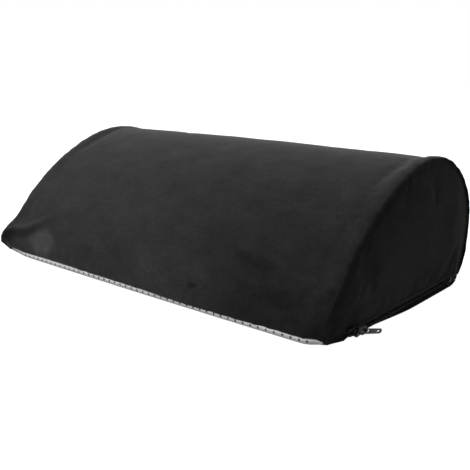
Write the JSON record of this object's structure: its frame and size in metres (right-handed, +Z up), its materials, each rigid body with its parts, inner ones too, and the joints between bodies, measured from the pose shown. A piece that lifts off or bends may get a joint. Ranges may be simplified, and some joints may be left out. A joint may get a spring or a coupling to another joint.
{
  "type": "half moon pillow",
  "caption": "Half cylinder foam cushion in a velour cover with a non-slip base and a coil zip along the bottom of one end.",
  "frame": {"origin": "on the floor, under the middle of the base", "axes": "+X along the pillow to the end that has the zip, +Y to the back, where the crest leans, +Z up"},
  "size_m": [0.4719, 0.2681, 0.1383],
  "materials": {
    "foam": "open-cell polyurethane foam",
    "velour": "short brushed pile, near black",
    "grip_fabric": "pale grey fabric with raised non-slip dots",
    "zip_tape": "black woven tape",
    "zip_coil": "black nylon coil",
    "zip_metal": "dark gunmetal coating, satin"
  },
  "bodies": {
    "cushion": {"foam_core": "foam", "top_panel": "velour", "left_end_panel": "velour", "right_end_panel": "velour", "base_panel": "grip_fabric", "zip_tape_upper": "zip_tape", "zip_tape_lower": "zip_tape", "zip_teeth_upper": "zip_coil", "zip_teeth_lower": "zip_coil", "top_stop_upper": "zip_metal", "top_stop_lower": "zip_metal", "bottom_stop": "zip_metal"},
    "slider": {"zip_slider": "zip_metal"},
    "tab": {"pull_tab": "zip_metal"}
  },
  "joints": [
    {"name": "slider_slide", "type": "slide", "parent": "cushion", "child": "slider", "axis": [0, 1, 0], "range_m": [0, 0.169], "deforming": ["zip_teeth_upper", "zip_teeth_lower"]},
    {"name": "pull_tab_swing", "type": "hinge", "parent": "slider", "child": "tab", "pos_m": [0.22831, -0.0793, 0.00479], "axis": [-0.342, 0, -0.9397], "range_deg": [-24, 104]}
  ]
}
